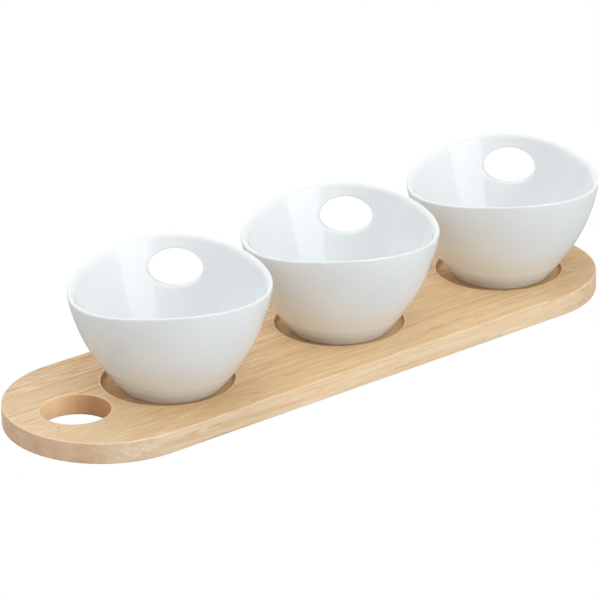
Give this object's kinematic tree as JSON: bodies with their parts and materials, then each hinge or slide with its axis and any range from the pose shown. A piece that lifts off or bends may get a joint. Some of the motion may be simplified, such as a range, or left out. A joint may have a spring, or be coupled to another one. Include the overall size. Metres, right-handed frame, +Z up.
{
  "type": "chip and dip server",
  "caption": "Long round-ended wooden board with a finger hole, carrying a row of lift-out white porcelain bowls, each with an oval finger slot under its wavy rim.",
  "frame": {"origin": "centre of the board's underside", "axes": "+X along the board from the finger-hole end to the plain end, +Y to the back, where the bowls' finger slots are, +Z up"},
  "size_m": [0.4554, 0.1302, 0.085],
  "materials": {
    "front_wood": "pale close-grained hardwood, thin clear oil, satin",
    "middle_wood": "pale hardwood with darker streaks, thin clear oil, satin",
    "back_wood": "pale open-pored hardwood, thin clear oil, satin",
    "porcelain": "white clear-glazed porcelain, glossy"
  },
  "bodies": {
    "board": {"front_stave": "front_wood", "middle_stave": "middle_wood", "back_stave": "back_wood"},
    "finger_hole_bowl": {"finger_hole_bowl": "porcelain"},
    "centre_bowl": {"centre_bowl": "porcelain"},
    "far_end_bowl": {"far_end_bowl": "porcelain"}
  },
  "joints": [
    {"name": "finger_hole_lift", "type": "slide", "parent": "board", "child": "finger_hole_bowl", "axis": [0, 0, 1], "range_m": [0, 0.12]},
    {"name": "centre_lift", "type": "slide", "parent": "board", "child": "centre_bowl", "axis": [0, 0, 1], "range_m": [0, 0.12]},
    {"name": "far_end_lift", "type": "slide", "parent": "board", "child": "far_end_bowl", "axis": [0, 0, 1], "range_m": [0, 0.12]}
  ]
}
